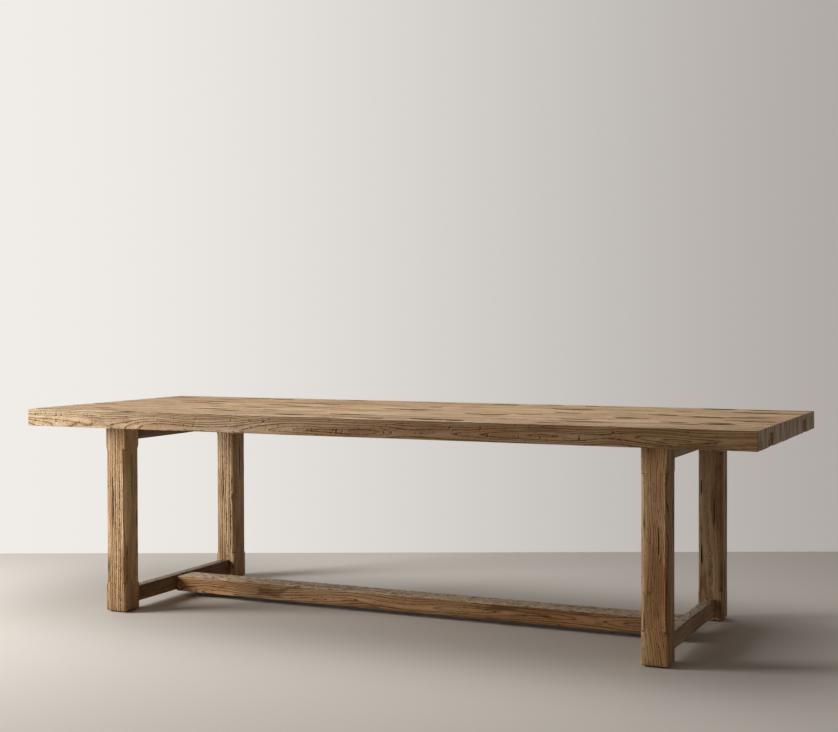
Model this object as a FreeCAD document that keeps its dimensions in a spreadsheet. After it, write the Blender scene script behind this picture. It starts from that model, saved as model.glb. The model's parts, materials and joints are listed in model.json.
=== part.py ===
import FreeCAD, Part
import os
import re
import Sketcher

# Long oak dining table: a plank top on two end frames that a low beam ties together.
# Millimetres. +X runs along the table, +Y to the back, +Z up. The floor is z = 0 and
# the origin lies under the middle of the top.

# Driving sizes
sizes = {
    # Top
    "table_length": "2743",
    "table_width": "1016",
    "table_height": "762",
    "top_thick": "64",
    "edge_board_wide": "158",
    "arm_board_wide": "203",
    "top_arris": "2.5",
    "spline_wide": "24",
    "spline_thick": "10",
    "spline_stop": "40",
    # Legs
    "leg_side": "89",
    "leg_end_inset": "295",
    "leg_side_inset": "85.5",
    "leg_arris": "4",
    "leg_chamfer": "10",
    "chamfer_stop": "10",
    "foot_block_tall": "98.5",
    "cap_block_tall": "78",
    "foot_bevel": "5",
    "leg_tenon_long": "60",
    "leg_tenon_wide": "40",
    "leg_tenon_tall": "22",
    # Rubber pads under the feet
    "pad_side": "66",
    "pad_thick": "4",
    "pad_bevel": "1",
    # Upper rails and end stretchers
    "rail_thick": "38",
    "rail_deep": "54.5",
    "rail_arris": "2",
    "rail_tenon_thick": "14",
    "rail_tenon_tall": "34",
    "rail_tenon_long": "55",
    "stretcher_thick": "38",
    "stretcher_deep": "58",
    "stretcher_lift": "25",
    "stretcher_arris": "3",
    "stretcher_tenon_thick": "14",
    "stretcher_tenon_tall": "38",
    "stretcher_tenon_long": "55",
    # Foot beam between the end stretchers
    "beam_wide": "108",
    "beam_deep": "58",
    "beam_lift": "20",
    "beam_arris": "4",
    "beam_tenon_wide": "76",
    "beam_tenon_tall": "26",
    "beam_tenon_long": "22",
    "peg_side": "10",
    "peg_long": "44",
    # Bolts that hold the top down on the rails
    "bolt_wide": "8",
    "bolt_reach": "25",
    "bolt_head_wide": "13",
    "bolt_head_thick": "5.3",
    "bolt_hole_wide": "10",
    "washer_wide": "20",
    "washer_thick": "2",
    "counterbore_wide": "22",
    "counterbore_deep": "14",
    "insert_wide": "12",
    "insert_long": "20",
    # Grooves in the underside and the pull-out arms in them
    "slot_inset": "23",
    "slot_wide": "56",
    "slot_deep": "43",
    "arm_wide": "36",
    "arm_tall": "40",
    "arm_recess": "3",
    "arm_arris": "1.5",
    "arm_wall_gap": "2",
    "arm_end_gap": "8",
    "arm_travel": "406",
    "arm_cove_inset": "26",
    "arm_cove_round": "9",
    "guide_short": "83",
    "guide_tall": "34",
    "guide_set_back": "60",
    "tongue_thick": "10",
    "tongue_deep": "9",
    "root_deep": "8",
    "stop_long": "12",
    "stop_wide": "16",
    "stop_let_in": "14",
    "stop_proud": "12",
    "arm_tail": "92",
    # Clearances, and how far a cut runs past the wood
    "glue_gap": "0.15",
    "run_gap": "0.3",
    "thread_gap": "0.1",
    "overrun": "5",
}

# Places and sizes that follow from them
derived = {
    "half_length": "table_length / 2",
    "half_width": "table_width / 2",
    "underside": "table_height - top_thick",
    "edge_seam": "half_width - edge_board_wide",
    "arm_seam": "edge_seam - arm_board_wide",
    "slot_place": "edge_seam - slot_inset - slot_wide",
    "leg_x": "half_length - leg_end_inset - leg_side / 2",
    "leg_y": "half_width - leg_side_inset - leg_side / 2",
    "leg_inner_y": "leg_y - leg_side / 2",
    "leg_tall": "underside - pad_thick",
    "rail_low": "underside - rail_deep",
    "rail_mid": "underside - rail_deep / 2",
    "stretcher_mid": "stretcher_lift + stretcher_deep / 2",
    "beam_mid": "beam_lift + beam_deep / 2",
    "beam_half": "leg_x - stretcher_thick / 2",
    "beam_peg_x": "beam_half + beam_tenon_long / 2",
    "bolt_seat": "rail_low + counterbore_deep",
    "bolt_long": "rail_deep - counterbore_deep + washer_thick + bolt_reach",
    "middle_bolt_y": "arm_seam / 2",
    "arm_bolt_y": "(arm_seam + slot_place) / 2",
    "arm_mid_y": "slot_place + slot_wide - arm_wall_gap - arm_wide / 2",
    "arm_inner_y": "arm_mid_y - arm_wide / 2",
    "arm_low": "underside + run_gap",
    "arm_mid_z": "arm_low + arm_tall / 2",
    "arm_outer_x": "half_length - arm_recess",
    "stop_x": "leg_x - rail_thick / 2 - arm_travel - run_gap - stop_long / 2",
    "arm_long": "arm_outer_x - stop_x + arm_tail",
    "groove_inner_end": "arm_outer_x - arm_long - arm_end_gap",
    "guide_outer_x": "half_length - guide_set_back",
    "guide_long": "guide_outer_x - arm_outer_x + arm_long - guide_short",
    "guide_thick": "arm_inner_y - run_gap - slot_place",
}

leg_sides = 4
bolt_head_sides = 6

doc = FreeCAD.newDocument("DiningTable")
sheet = doc.addObject("Spreadsheet::Sheet", "Sizes")
rows = list(sizes.items()) + [(name, "=" + formula) for name, formula in derived.items()]
for row, (alias, text) in enumerate(rows, start=1):
    sheet.set(f"A{row}", alias)
    sheet.set(f"B{row}", text)
    sheet.setAlias(f"B{row}", alias)
doc.recompute()

sub_parts = []


# Working with the sheet
def number(formula):
    """Return what a formula of the sheet's names comes to."""
    return float(sheet.evalExpression(formula))


def bound(formula):
    """Return the formula as other objects read it, with the sheet before each name."""
    return re.sub(r"[a-z][a-z_]+\b(?!\()", lambda name: "Sizes." + name.group(), formula)


def keep(item, label):
    """Name a finished sub-part and list it for the export."""
    item.Label = label
    sub_parts.append(item)
    return item


def put(item, x, y, z, axis=(0, 0, 1), angle=0):
    """Turn an item about an axis and bind its place to three formulas."""
    turn = FreeCAD.Rotation(FreeCAD.Vector(*axis), angle)
    item.Placement = FreeCAD.Placement(FreeCAD.Vector(), turn)
    for name, formula in (("x", x), ("y", y), ("z", z)):
        item.setExpression("Placement.Base." + name, bound(formula))
    return item


# Sketches and solid features
def new_body(label):
    """Start a sub-part as an empty body."""
    return keep(doc.addObject("PartDesign::Body", label), label)


def draw(body, name, plane, lift="0", turn=0):
    """Lay a sketch on one of the body's own planes, lifted and turned upright."""
    sketch = body.newObject("Sketcher::SketchObject", name)
    support = next(item for item in body.Origin.OriginFeatures if item.Role == plane)
    sketch.AttachmentSupport = [(support, "")]
    sketch.MapMode = "FlatFace"
    upright = FreeCAD.Rotation(FreeCAD.Vector(0, 1, 0), turn)
    sketch.AttachmentOffset = FreeCAD.Placement(FreeCAD.Vector(), upright)
    sketch.setExpression("AttachmentOffset.Base.z", bound(lift))
    return sketch


def pin_point(sketch, line, end, across, up):
    """Hold a point of the sketch at two formulas from the sketch's origin."""
    for kind, formula in (("DistanceX", across), ("DistanceY", up)):
        held = Sketcher.Constraint(kind, -1, 1, line, end, number(formula))
        place = sketch.addConstraint(held)
        sketch.setExpression(f"Constraints[{place}]", bound(formula))


def outline(sketch, corners):
    """Draw a closed outline through corners given as pairs of formulas."""
    spots = [FreeCAD.Vector(number(across), number(up), 0) for across, up in corners]
    first = sketch.GeometryCount
    count = len(spots)
    for i in range(count):
        sketch.addGeometry(Part.LineSegment(spots[i], spots[(i + 1) % count]), False)
    for i in range(count):
        after = first + (i + 1) % count
        sketch.addConstraint(Sketcher.Constraint("Coincident", first + i, 2, after, 1))
    for i, (across, up) in enumerate(corners):
        pin_point(sketch, first + i, 1, across, up)


def rectangle(sketch, left, low, right, high):
    """Draw a rectangle between two pairs of formulas."""
    outline(sketch, [(left, low), (right, low), (right, high), (left, high)])


def circle(sketch, across, up, wide):
    """Draw a circle of a given width across."""
    middle = FreeCAD.Vector(number(across), number(up), 0)
    round_line = Part.Circle(middle, FreeCAD.Vector(0, 0, 1), number(wide) / 2)
    line = sketch.addGeometry(round_line, False)
    pin_point(sketch, line, 3, across, up)
    place = sketch.addConstraint(Sketcher.Constraint("Diameter", line, number(wide)))
    sketch.setExpression(f"Constraints[{place}]", bound(wide))


def pad(body, name, sketch, long, back=False):
    """Raise a solid from a sketch."""
    feature = body.newObject("PartDesign::Pad", name)
    feature.Profile = sketch
    feature.setExpression("Length", bound(long))
    feature.Reversed = back
    doc.recompute()
    return feature


def pocket(body, name, sketch, deep, back=False, both=False):
    """Cut a sketch into the body, and make sure that the cut took wood away."""
    before = body.Tip.Shape.Volume
    feature = body.newObject("PartDesign::Pocket", name)
    feature.Profile = sketch
    feature.setExpression("Length", bound(deep))
    feature.Reversed = back
    if both:
        feature.SideType = "Symmetric"
    doc.recompute()
    if not body.Tip.Shape.Volume < before:
        raise RuntimeError(f"{body.Label}: {name} cuts nothing")
    return feature


def around(body, name, feature, count):
    """Repeat a feature evenly about the body's upright axis."""
    pattern = body.newObject("PartDesign::PolarPattern", name)
    pattern.Originals = [feature]
    axis = next(item for item in body.Origin.OriginFeatures if item.Role == "Z_Axis")
    pattern.Axis = (axis, [""])
    pattern.Angle = 360
    pattern.Occurrences = count
    body.Tip = pattern
    doc.recompute()
    return pattern


def ease(body, name, kind, size, chosen):
    """Round or bevel the edges whose middle point and direction are chosen."""
    base = body.Tip
    picked = []
    for place, edge in enumerate(base.Shape.Edges, start=1):
        run = edge.Vertexes[-1].Point - edge.Vertexes[0].Point
        if chosen(edge.BoundBox.Center, run):
            picked.append(f"Edge{place}")
    feature = body.newObject("PartDesign::" + kind, name)
    feature.Base = (base, picked)
    feature.setExpression("Radius" if kind == "Fillet" else "Size", bound(size))
    doc.recompute()
    return feature


def near(one, other):
    """Tell whether two lengths are the same but for rounding."""
    return abs(one - other) < 1e-6 * number("table_length")


# Fasteners
def rod(name, wide, long):
    """Make a plain round rod that stands on its own origin."""
    made = doc.addObject("Part::Cylinder", name)
    made.setExpression("Radius", bound(f"({wide}) / 2"))
    made.setExpression("Height", bound(long))
    return made


def bolt_head(name):
    """Make a six-sided bolt head that stands on its own origin."""
    made = doc.addObject("Part::Prism", name)
    made.Polygon = bolt_head_sides
    made.setExpression("Circumradius", bound("bolt_head_wide / sqrt(3)"))
    made.setExpression("Height", bound("bolt_head_thick"))
    return made


def block(name, long, wide, tall):
    """Make a plain block with its lowest corner on its own origin."""
    made = doc.addObject("Part::Box", name)
    made.setExpression("Length", bound(long))
    made.setExpression("Width", bound(wide))
    made.setExpression("Height", bound(tall))
    return made


def group(label, pieces):
    """Keep several like pieces as one sub-part of separate solids."""
    made = doc.addObject("Part::Compound", label)
    made.Links = pieces
    return keep(made, label)


# Top boards
# Each is drawn as the front one, with its underside on its own z = 0. The back one is
# the same board turned half round.
rows_of_boards = {
    "edge_board": ("edge_seam", "half_width"),
    "arm_board": ("arm_seam", "edge_seam"),
    "middle_board": ("0", "arm_seam"),
}
seam_names = {"edge_board": ["edge_seam"], "arm_board": ["edge_seam", "arm_seam"],
              "middle_board": ["arm_seam", "0"]}
bolt_rows = {"arm_board": "arm_bolt_y", "middle_board": "middle_bolt_y"}
ends = {"left": -1, "right": 1}


def cut_spline_grooves(body, row):
    """Plough the stopped grooves for the loose tongues into a board's edges."""
    inner = rows_of_boards[row][0]
    for seam in seam_names[row]:
        sketch = draw(body, "spline_groove_" + seam[:4], "XZ_Plane", seam)
        reach = "half_length - spline_stop + glue_gap"
        half = "spline_thick / 2 + glue_gap"
        rectangle(sketch, f"-({reach})", f"top_thick / 2 - ({half})", reach,
                  f"top_thick / 2 + {half}")
        pocket(body, "spline_cut_" + seam[:4], sketch, "spline_wide / 2 + glue_gap",
               back=(seam == inner))


def cut_insert_holes(body, row):
    """Bore the board for the threaded inserts and for the bolts' ends beyond them."""
    holes = draw(body, "insert_holes", "XY_Plane")
    for side in ends.values():
        circle(holes, f"{side} * leg_x", f"-{bolt_rows[row]}", "insert_wide + 2 * glue_gap")
    pocket(body, "insert_cut", holes, "bolt_reach + run_gap", back=True)


def cut_leg_mortises(body):
    """Sink the blind mortises that the legs' stub tenons stand in."""
    sketch = draw(body, "leg_mortises", "XY_Plane")
    long = "leg_tenon_long / 2 + glue_gap"
    wide = "leg_tenon_wide / 2 + glue_gap"
    for side in ends.values():
        rectangle(sketch, f"{side} * leg_x - ({long})", f"-leg_y - ({wide})",
                  f"{side} * leg_x + {long}", f"-leg_y + {wide}")
    pocket(body, "leg_mortise_cut", sketch, "leg_tenon_tall + glue_gap", back=True)


def cut_arm_grooves(body):
    """Plough the open grooves for the arms, and the narrow ones their guides root in."""
    sketch = draw(body, "arm_grooves", "XY_Plane")
    roots = draw(body, "guide_roots", "XZ_Plane", "slot_place")
    rise = "tongue_thick / 2 + glue_gap"
    middle = "arm_mid_z - underside"
    for side in ends.values():
        reaches = [f"{side} * groove_inner_end", f"{side} * (half_length + overrun)"]
        left, right = reaches[::side]
        rectangle(sketch, left, "-slot_place - slot_wide", right, "-slot_place")
        reaches = [f"{side} * (guide_outer_x - guide_long - glue_gap)",
                   f"{side} * (guide_outer_x + glue_gap)"]
        left, right = reaches[::side]
        rectangle(roots, left, f"{middle} - ({rise})", right, f"{middle} + {rise}")
    pocket(body, "arm_groove_cut", sketch, "slot_deep", back=True)
    pocket(body, "guide_root_cut", roots, "root_deep + glue_gap")


def make_board(row, place, angle):
    """Make one plank of the top."""
    inner, outer = rows_of_boards[row]
    body = new_body(f"{row}_{place}")
    sketch = draw(body, "board_plan", "XY_Plane")
    rectangle(sketch, "-half_length", f"-({outer})", "half_length", f"-({inner})")
    pad(body, "board", sketch, "top_thick")

    def worn(middle, run):
        """Choose the upper arrises that the table's outside has."""
        high = near(middle.z, number("top_thick"))
        at_end = near(abs(middle.x), number("half_length"))
        at_side = row == "edge_board" and near(middle.y, -number("half_width"))
        corner = at_end and at_side and abs(run.z) > 0
        return (high and (at_end or at_side)) or corner

    ease(body, "worn_arris", "Fillet", "top_arris", worn)
    cut_spline_grooves(body, row)
    if row in bolt_rows:
        cut_insert_holes(body, row)
    if row == "edge_board":
        cut_leg_mortises(body)
    if row == "arm_board":
        cut_arm_grooves(body)
    put(body, "0", "0", "underside", angle=angle)


def make_splines():
    """Make the loose tongues that line the boards up at their five seams."""
    places = {"front_outer": "-edge_seam", "front_inner": "-arm_seam", "middle": "0",
              "back_inner": "arm_seam", "back_outer": "edge_seam"}
    for place, across in places.items():
        tongue = block("spline_" + place, "table_length - 2 * spline_stop", "spline_wide",
                       "spline_thick")
        put(tongue, "spline_stop - half_length", f"{across} - spline_wide / 2",
            "underside + top_thick / 2 - spline_thick / 2")
        keep(tongue, "spline_" + place)


# Legs
def make_leg(label, side_x, side_y):
    """Make a square leg with stopped chamfers, two mortises and a stub tenon."""
    body = new_body(label)
    half = "leg_side / 2"
    square = draw(body, "leg_square", "XY_Plane")
    rectangle(square, f"-{half}", f"-{half}", half, half)
    pad(body, "leg_post", square, "leg_tall")
    ease(body, "foot_bevel_cut", "Chamfer", "foot_bevel",
         lambda middle, run: near(middle.z, 0))

    # The arris of both blocks and the chamfer between them are one cut, drawn in the
    # plane through two corners of the leg. Across is the distance from its axis.
    corner = "leg_side / 2 * sqrt(2)"
    arris = f"{corner} - leg_arris / sqrt(2)"
    deep = f"{corner} - leg_chamfer / sqrt(2)"
    low = "foot_block_tall"
    high = "leg_tall - cap_block_tall"
    profile = draw(body, "stopped_chamfer_line", "XZ_Plane", turn=45)
    outline(profile, [
        (f"{corner} + overrun", "-overrun"), (f"{corner} + overrun", "leg_tall + overrun"),
        (arris, "leg_tall + overrun"), (arris, high), (deep, f"{high} - chamfer_stop"),
        (deep, f"{low} + chamfer_stop"), (arris, low), (arris, "-overrun")])
    cut = pocket(body, "stopped_chamfer", profile, "2 * leg_side", both=True)
    around(body, "stopped_chamfers", cut, leg_sides)

    mortises = {
        "stretcher": ("stretcher_mid", "stretcher_tenon_thick", "stretcher_tenon_tall",
                      "stretcher_tenon_long"),
        "rail": ("rail_mid", "rail_tenon_thick", "rail_tenon_tall", "rail_tenon_long"),
    }
    for name, (middle, thick, tall, long) in mortises.items():
        sketch = draw(body, name + "_mortise", "XZ_Plane", f"-{half}")
        side = f"{thick} / 2 + glue_gap"
        rise = f"{tall} / 2 + glue_gap"
        centre = f"{middle} - pad_thick"
        rectangle(sketch, f"-({side})", f"{centre} - ({rise})", side, f"{centre} + {rise}")
        pocket(body, name + "_mortise_cut", sketch, f"{long} + glue_gap", back=True)

    tenon = draw(body, "stub_tenon_plan", "XY_Plane", "leg_tall")
    rectangle(tenon, "-leg_tenon_long / 2", "-leg_tenon_wide / 2",
              "leg_tenon_long / 2", "leg_tenon_wide / 2")
    pad(body, "stub_tenon", tenon, "leg_tenon_tall")
    put(body, f"{side_x} * leg_x", f"{side_y} * leg_y", "pad_thick",
        angle=0 if side_y < 0 else 180)


def make_foot_pad(label, side_x, side_y):
    """Make the square rubber pad under a foot."""
    body = new_body(label)
    plan = draw(body, "pad_plan", "XY_Plane")
    half = "pad_side / 2"
    rectangle(plan, f"-{half}", f"-{half}", half, half)
    pad(body, "rubber", plan, "pad_thick")
    ease(body, "rubber_edge", "Chamfer", "pad_bevel",
         lambda middle, run: near(middle.z, 0))
    put(body, f"{side_x} * leg_x", f"{side_y} * leg_y", "0")


# Cross members of the end frames
def make_rail(label, side_x):
    """Make an upper rail, with a tenon at each end and counterbored bolt holes."""
    body = new_body(label)
    section = draw(body, "rail_section", "XZ_Plane", "leg_inner_y")
    rectangle(section, "-rail_thick / 2", "-rail_deep / 2", "rail_thick / 2",
              "rail_deep / 2")
    pad(body, "rail", section, "2 * leg_inner_y", back=True)
    ease(body, "rail_arris_cut", "Chamfer", "rail_arris",
         lambda middle, run: near(middle.z, -number("rail_deep") / 2)
         and near(abs(middle.x), number("rail_thick") / 2))
    tenons = draw(body, "rail_tenon_section", "XZ_Plane", "leg_inner_y + rail_tenon_long")
    rectangle(tenons, "-rail_tenon_thick / 2", "-rail_tenon_tall / 2",
              "rail_tenon_thick / 2", "rail_tenon_tall / 2")
    pad(body, "rail_tenons", tenons, "2 * (leg_inner_y + rail_tenon_long)", back=True)
    holes = draw(body, "bolt_holes", "XY_Plane", "-rail_deep / 2")
    bores = draw(body, "bolt_counterbores", "XY_Plane", "-rail_deep / 2")
    for row in bolt_rows.values():
        for side in (-1, 1):
            circle(holes, "0", f"{side} * {row}", "bolt_hole_wide")
            circle(bores, "0", f"{side} * {row}", "counterbore_wide")
    pocket(body, "bolt_hole_cut", holes, "rail_deep", back=True)
    pocket(body, "bolt_counterbore_cut", bores, "counterbore_deep", back=True)
    put(body, f"{side_x} * leg_x", "0", "rail_mid")


def peg_hole(sketch, across):
    """Draw the square hole that a peg is driven into."""
    half = "peg_side / 2 + glue_gap"
    rectangle(sketch, f"{across} - ({half})", f"-({half})", f"{across} + {half}", half)


def make_end_stretcher(label, side_x):
    """Make an end stretcher, tenoned at its ends and mortised for the foot beam."""
    body = new_body(label)
    section = draw(body, "stretcher_section", "XZ_Plane", "leg_inner_y")
    rectangle(section, "-stretcher_thick / 2", "-stretcher_deep / 2",
              "stretcher_thick / 2", "stretcher_deep / 2")
    pad(body, "stretcher", section, "2 * leg_inner_y", back=True)
    ease(body, "stretcher_arris_cut", "Fillet", "stretcher_arris",
         lambda middle, run: near(middle.z, number("stretcher_deep") / 2)
         and near(abs(middle.x), number("stretcher_thick") / 2))
    reach = "leg_inner_y + stretcher_tenon_long"
    tenons = draw(body, "stretcher_tenon_section", "XZ_Plane", reach)
    rectangle(tenons, "-stretcher_tenon_thick / 2", "-stretcher_tenon_tall / 2",
              "stretcher_tenon_thick / 2", "stretcher_tenon_tall / 2")
    pad(body, "stretcher_tenons", tenons, f"2 * ({reach})", back=True)
    mortise = draw(body, "beam_mortise", "YZ_Plane", "stretcher_thick / 2")
    wide = "beam_tenon_wide / 2 + glue_gap"
    tall = "beam_tenon_tall / 2 + glue_gap"
    drop = "beam_mid - stretcher_mid"
    rectangle(mortise, f"-({wide})", f"{drop} - ({tall})", wide, f"{drop} + {tall}")
    pocket(body, "beam_mortise_cut", mortise, "beam_tenon_long + glue_gap")
    hole = draw(body, "peg_hole", "XY_Plane", "-stretcher_deep / 2")
    peg_hole(hole, "stretcher_thick / 2 - beam_tenon_long / 2")
    pocket(body, "peg_hole_cut", hole, "peg_long + glue_gap", back=True)
    put(body, f"{side_x} * leg_x", "0", "stretcher_mid", angle=0 if side_x < 0 else 180)


def make_foot_beam():
    """Make the low beam that runs the length of the table, with a stub tenon each end."""
    body = new_body("foot_beam")
    section = draw(body, "beam_section", "YZ_Plane", "-beam_half")
    rectangle(section, "-beam_wide / 2", "-beam_deep / 2", "beam_wide / 2", "beam_deep / 2")
    pad(body, "beam", section, "2 * beam_half")
    ease(body, "beam_arris_cut", "Fillet", "beam_arris",
         lambda middle, run: near(abs(middle.y), number("beam_wide") / 2)
         and near(middle.z, number("beam_deep") / 2))
    reach = "beam_half + beam_tenon_long"
    tenons = draw(body, "beam_tenon_section", "YZ_Plane", f"-({reach})")
    rectangle(tenons, "-beam_tenon_wide / 2", "-beam_tenon_tall / 2", "beam_tenon_wide / 2",
              "beam_tenon_tall / 2")
    pad(body, "beam_tenons", tenons, f"2 * ({reach})")
    holes = draw(body, "peg_holes", "XY_Plane", "-beam_deep / 2")
    for side in ends.values():
        peg_hole(holes, f"{side} * beam_peg_x")
    pocket(body, "peg_hole_cut", holes, "beam_deep", back=True)
    put(body, "0", "0", "beam_mid")


def make_beam_peg(label, side_x):
    """Make the square peg driven up through a tenon of the beam from below."""
    peg = block(label, "peg_side", "peg_side", "peg_long")
    put(peg, f"{side_x} * beam_peg_x - peg_side / 2", "-peg_side / 2", "stretcher_lift")
    keep(peg, label)


# Bolts, washers and threaded inserts
def make_top_bolts(end, side_x):
    """Make the bolts that pull the top down on a rail, with washers and inserts."""
    bolts, washers, inserts = [], [], []
    for place, row in enumerate(bolt_rows.values()):
        for side in (-1, 1):
            name = f"{end}_{place}_{side + 2}"
            spot = (f"{side_x} * leg_x", f"{side} * {row}")
            shank = rod("shank_" + name, "bolt_wide", "bolt_long")
            head = put(bolt_head("head_" + name), "0", "0", "-bolt_head_thick")
            bolt = doc.addObject("Part::Fuse", "bolt_" + name)
            bolt.Base = shank
            bolt.Tool = head
            put(bolt, *spot, "bolt_seat - washer_thick")
            bolts.append(bolt)
            washers.append(ring("washer_" + name, "washer_wide", "washer_thick", spot,
                                "bolt_seat - washer_thick"))
            inserts.append(ring("insert_" + name, "insert_wide", "insert_long", spot,
                                "underside"))
    group("top_bolts_" + end, bolts)
    group("bolt_washers_" + end, washers)
    group("threaded_inserts_" + end, inserts)


def ring(name, wide, long, spot, height):
    """Make a round sleeve that a bolt passes through."""
    solid = rod(name + "_solid", wide, long)
    bore = rod(name + "_bore", "bolt_wide + 2 * thread_gap", f"{long} + 2 * overrun")
    put(bore, "0", "0", "-overrun")
    made = doc.addObject("Part::Cut", name)
    made.Base = solid
    made.Tool = bore
    return put(made, *spot, height)


# Pull-out arms
# An arm and its guide are drawn as at the right-hand end, with local x outward. At
# the other end they are turned half round, so the hand says which side the guide is.
def make_arm(end, row, side_x, side_y):
    """Make a pull-out arm, grooved for its guide and coved for the fingers."""
    hand = side_x * side_y
    body = new_body(f"arm_{row}_{end}")
    plan = draw(body, "arm_plan", "XY_Plane")
    rectangle(plan, "-arm_long", "-arm_wide / 2", "0", "arm_wide / 2")
    pad(body, "arm", plan, "arm_tall")
    ease(body, "arm_arris_cut", "Chamfer", "arm_arris",
         lambda middle, run: near(middle.x, 0))

    groove = draw(body, "tongue_groove", "XZ_Plane", f"{hand} * arm_wide / 2")
    rise = "tongue_thick / 2 + run_gap"
    stop = "arm_recess - guide_set_back + run_gap"
    rectangle(groove, "-arm_long - overrun", f"arm_tall / 2 - ({rise})", stop,
              f"arm_tall / 2 + {rise}")
    pocket(body, "tongue_groove_cut", groove, "tongue_deep + run_gap", back=(hand < 0))

    cove = draw(body, "finger_cove", "XZ_Plane", "-arm_wide / 2 - overrun")
    circle(cove, "-arm_cove_inset", "0", "2 * arm_cove_round")
    pocket(body, "finger_cove_cut", cove, "arm_wide + 2 * overrun", back=True)

    seat = draw(body, "stop_seat", "XY_Plane")
    middle = "stop_x - arm_outer_x"
    long = "stop_long / 2 + glue_gap"
    wide = "stop_wide / 2 + glue_gap"
    rectangle(seat, f"{middle} - ({long})", f"-({wide})", f"{middle} + {long}", wide)
    pocket(body, "stop_seat_cut", seat, "stop_let_in + glue_gap", back=True)
    put(body, f"{side_x} * arm_outer_x", f"{side_y} * arm_mid_y", "arm_low",
        angle=0 if side_x > 0 else 180)


def make_arm_stop(end, row, side_x, side_y):
    """Make the block under an arm that meets the rail when the arm is right out."""
    stop = block(f"arm_stop_{row}_{end}", "stop_long", "stop_wide",
                 "stop_let_in + stop_proud")
    put(stop, f"{side_x} * stop_x - stop_long / 2",
        f"{side_y} * arm_mid_y - stop_wide / 2", "arm_low - stop_proud")
    keep(stop, f"arm_stop_{row}_{end}")


def make_guide(end, row, side_x, side_y):
    """Make the oak strip that an arm runs along, rooted in the wall of the groove."""
    hand = side_x * side_y
    body = new_body(f"arm_guide_{row}_{end}")
    section = draw(body, "guide_section", "YZ_Plane", "-guide_long")
    root = f"-{hand} * root_deep"
    face = f"{hand} * guide_thick"
    tip = f"{hand} * (guide_thick + tongue_deep)"
    low = "-tongue_thick / 2"
    high = "tongue_thick / 2"
    outline(section, [
        (root, low), ("0", low), ("0", "-guide_tall / 2"), (face, "-guide_tall / 2"),
        (face, low), (tip, low), (tip, high), (face, high), (face, "guide_tall / 2"),
        ("0", "guide_tall / 2"), ("0", high), (root, high)])
    pad(body, "guide", section, "guide_long")
    put(body, f"{side_x} * guide_outer_x", f"{side_y} * slot_place", "arm_mid_z",
        angle=0 if side_x > 0 else 180)


# The whole table
rows_y = {"front": -1, "back": 1}
for board_row in rows_of_boards:
    make_board(board_row, "front", 0)
    make_board(board_row, "back", 180)
make_splines()

for end, side_x in ends.items():
    for row, side_y in rows_y.items():
        make_leg(f"leg_{row}_{end}", side_x, side_y)
        make_foot_pad(f"foot_pad_{row}_{end}", side_x, side_y)
        make_arm(end, row, side_x, side_y)
        make_arm_stop(end, row, side_x, side_y)
        make_guide(end, row, side_x, side_y)
    make_rail("upper_rail_" + end, side_x)
    make_end_stretcher("end_stretcher_" + end, side_x)
    make_beam_peg("beam_peg_" + end, side_x)
    make_top_bolts(end, side_x)
make_foot_beam()

# Every object has to be sound before anything is written
doc.recompute()
for item in doc.Objects:
    faults = [state for state in item.State if state in ("Invalid", "Error")]
    if faults:
        raise RuntimeError(f"{item.Label} is {faults[0]}")
for item in sub_parts:
    if item.Shape.isNull() or not item.Shape.isValid() or not item.Shape.Solids:
        raise RuntimeError(f"{item.Label} has no sound solid")

os.makedirs("parts", exist_ok=True)
for item in sub_parts:
    item.Shape.exportStep(f"parts/{item.Label}.step")
print(len(sub_parts), "sub-parts written")
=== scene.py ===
# %% [markdown]
# # A long oak dining table
#
# The table has a thick plank top on two end frames, and a low beam ties the frames
# together. It is old oak, brushed with a wire brush and oiled, so its grain stands open
# and its edges are worn. This lesson dresses the bare model of the table: each piece of
# wood is cut into a fine mesh, worn, split and pitted, and gets its own grain.

# %% Load the model
import json
import math
import random
from collections import namedtuple

import bmesh
import bpy
from mathutils import Euler, Matrix, Vector, kdtree, noise


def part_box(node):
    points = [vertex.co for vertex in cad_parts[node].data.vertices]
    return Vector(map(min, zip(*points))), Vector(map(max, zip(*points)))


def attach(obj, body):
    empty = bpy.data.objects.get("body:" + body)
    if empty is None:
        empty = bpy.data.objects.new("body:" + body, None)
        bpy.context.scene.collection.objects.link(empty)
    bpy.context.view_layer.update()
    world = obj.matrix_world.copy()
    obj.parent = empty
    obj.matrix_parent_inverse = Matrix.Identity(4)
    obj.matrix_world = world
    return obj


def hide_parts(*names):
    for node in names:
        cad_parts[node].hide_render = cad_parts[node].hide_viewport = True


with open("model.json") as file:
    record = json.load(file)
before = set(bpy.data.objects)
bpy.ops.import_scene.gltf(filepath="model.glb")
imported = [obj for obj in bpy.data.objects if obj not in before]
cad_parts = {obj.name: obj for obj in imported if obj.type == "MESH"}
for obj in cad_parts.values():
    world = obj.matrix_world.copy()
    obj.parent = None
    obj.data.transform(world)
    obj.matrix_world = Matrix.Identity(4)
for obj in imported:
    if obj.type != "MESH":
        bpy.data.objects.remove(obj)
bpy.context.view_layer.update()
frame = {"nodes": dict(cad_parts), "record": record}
nodes = frame["nodes"]
node_body = {name: body for body, names in frame["record"]["behaviour"]["bodies"].items()
             for name in names}
node_slot = {part["node"]: part["material_slot"] for part in frame["record"]["subparts"]}

# %% [markdown]
# ## The camera
#
# The picture was taken from the right of the table, a little above its top. The camera
# stands almost level and its frame is shifted, as with a shift lens, so that upright
# edges stay upright. A tilt would make the legs lean. The place and the turn were worked
# out from the corners of the top and the feet.

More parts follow.
